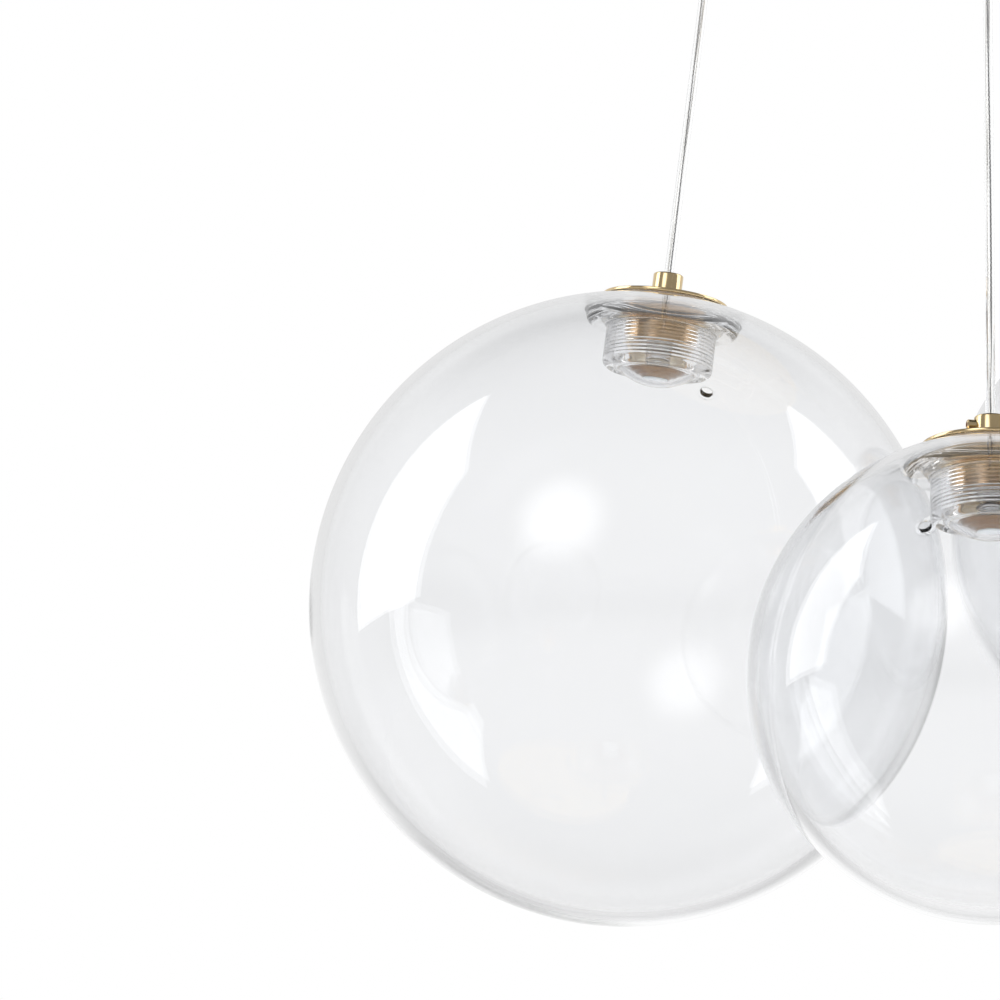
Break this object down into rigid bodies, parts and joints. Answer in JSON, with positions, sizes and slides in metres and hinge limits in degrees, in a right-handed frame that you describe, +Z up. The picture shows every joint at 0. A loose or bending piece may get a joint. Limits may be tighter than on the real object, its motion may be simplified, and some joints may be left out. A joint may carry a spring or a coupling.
{
  "type": "bubble chandelier",
  "caption": "Ceiling light with clear blown glass globes of mixed sizes on clear cords, each lit by a brass lamp body screwed into the globe's neck, under a round brass canopy",
  "frame": {"origin": "middle of the mounting bar's top face, on the ceiling, on the canopy's axis", "axes": "+Z up, +Y away from the picture's viewer, +X to the picture's right"},
  "size_m": [0.4493, 0.3771, 0.461],
  "materials": {
    "brass": "polished, lightly lacquered",
    "zinc_plated_steel": "zinc plated strip",
    "steel": "bright",
    "white_plastic": "moulded, matt",
    "grey_foam": "foam",
    "clear_glass": "clear, blown, fire polished",
    "clear_rubber": "clear silicone",
    "clear_jacket": "clear jacket over bright strands",
    "board": "white solder mask with a yellow light source",
    "diffuser": "clear moulded lens"
  },
  "bodies": {
    "canopy": {"canopy_shell": "brass", "mounting_bar": "zinc_plated_steel", "canopy_screw_right": "brass", "canopy_screw_left": "brass", "earth_screw": "brass", "terminal_block": "white_plastic", "driver_pad": "grey_foam", "led_driver": "white_plastic", "output_block": "white_plastic", "mains_lead": "white_plastic", "output_lead": "white_plastic", "canopy_grip_large": "brass", "canopy_grip_screw_large": "brass", "grip_nut_large": "steel", "cord_tail_large": "clear_jacket", "canopy_grip_small": "brass", "canopy_grip_screw_small": "brass", "grip_nut_small": "steel", "cord_tail_small": "clear_jacket", "canopy_grip_medium": "brass", "canopy_grip_screw_medium": "brass", "grip_nut_medium": "steel", "cord_tail_medium": "clear_jacket"},
    "pendant_large": {"cord_large": "clear_jacket", "cord_grip_large": "brass", "grip_screw_large": "brass", "cap_plate_large": "brass", "lamp_body_large": "brass", "strand_ferrule_large": "steel", "led_board_large": "board", "led_bezel_large": "brass", "led_lens_large": "diffuser"},
    "washer_large": {"seal_washer_large": "clear_rubber"},
    "globe_large": {"glass_globe_large": "clear_glass"},
    "pendant_small": {"cord_small": "clear_jacket", "cord_grip_small": "brass", "grip_screw_small": "brass", "cap_plate_small": "brass", "lamp_body_small": "brass", "strand_ferrule_small": "steel", "led_board_small": "board", "led_bezel_small": "brass", "led_lens_small": "diffuser"},
    "washer_small": {"seal_washer_small": "clear_rubber"},
    "globe_small": {"glass_globe_small": "clear_glass"},
    "pendant_medium": {"cord_medium": "clear_jacket", "cord_grip_medium": "brass", "grip_screw_medium": "brass", "cap_plate_medium": "brass", "lamp_body_medium": "brass", "strand_ferrule_medium": "steel", "led_board_medium": "board", "led_bezel_medium": "brass", "led_lens_medium": "diffuser"},
    "washer_medium": {"seal_washer_medium": "clear_rubber"},
    "globe_medium": {"glass_globe_medium": "clear_glass"}
  },
  "joints": [
    {"name": "swing_large", "type": "hinge", "parent": "canopy", "child": "pendant_large", "pos_m": [-0.08746, 0.04078, -0.0403], "axis": [0.4226, 0.9063, 0], "range_deg": [0, 20]},
    {"name": "globe_travel_large", "type": "slide", "parent": "pendant_large", "child": "washer_large", "axis": [-0.1282, 0.0505, -0.9905], "range_m": [0, 0.006]},
    {"name": "globe_turn_large", "type": "hinge", "parent": "washer_large", "child": "globe_large", "pos_m": [-0.12333, 0.05491, -0.3174], "axis": [-0.1282, 0.0505, -0.9905], "range_deg": [0, 1440]},
    {"name": "swing_small", "type": "hinge", "parent": "canopy", "child": "pendant_small", "pos_m": [0.00841, -0.09613, -0.0403], "axis": [-0.9962, -0.0872, 0], "range_deg": [0, 20]},
    {"name": "globe_travel_small", "type": "slide", "parent": "pendant_small", "child": "washer_small", "axis": [-0.0197, -0.0415, -0.9989], "range_m": [0, 0.006]},
    {"name": "globe_turn_small", "type": "hinge", "parent": "washer_small", "child": "globe_small", "pos_m": [0.00182, -0.10997, -0.37364], "axis": [-0.0197, -0.0415, -0.9989], "range_deg": [0, 1440]},
    {"name": "swing_medium", "type": "hinge", "parent": "canopy", "child": "pendant_medium", "pos_m": [0.07905, 0.05535, -0.0403], "axis": [0.5736, -0.8192, 0], "range_deg": [0, 20]},
    {"name": "globe_travel_medium", "type": "slide", "parent": "pendant_medium", "child": "washer_medium", "axis": [0.0992, -0.0113, -0.995], "range_m": [0, 0.006]},
    {"name": "globe_turn_medium", "type": "hinge", "parent": "washer_medium", "child": "globe_medium", "pos_m": [0.1037, 0.05253, -0.28751], "axis": [0.0992, -0.0113, -0.995], "range_deg": [0, 1440]}
  ],
  "couplings": [
    {"joint": "globe_travel_large", "follows": "globe_turn_large", "m_per_rad": 0.00023873},
    {"joint": "globe_travel_small", "follows": "globe_turn_small", "m_per_rad": 0.00023873},
    {"joint": "globe_travel_medium", "follows": "globe_turn_medium", "m_per_rad": 0.00023873}
  ]
}
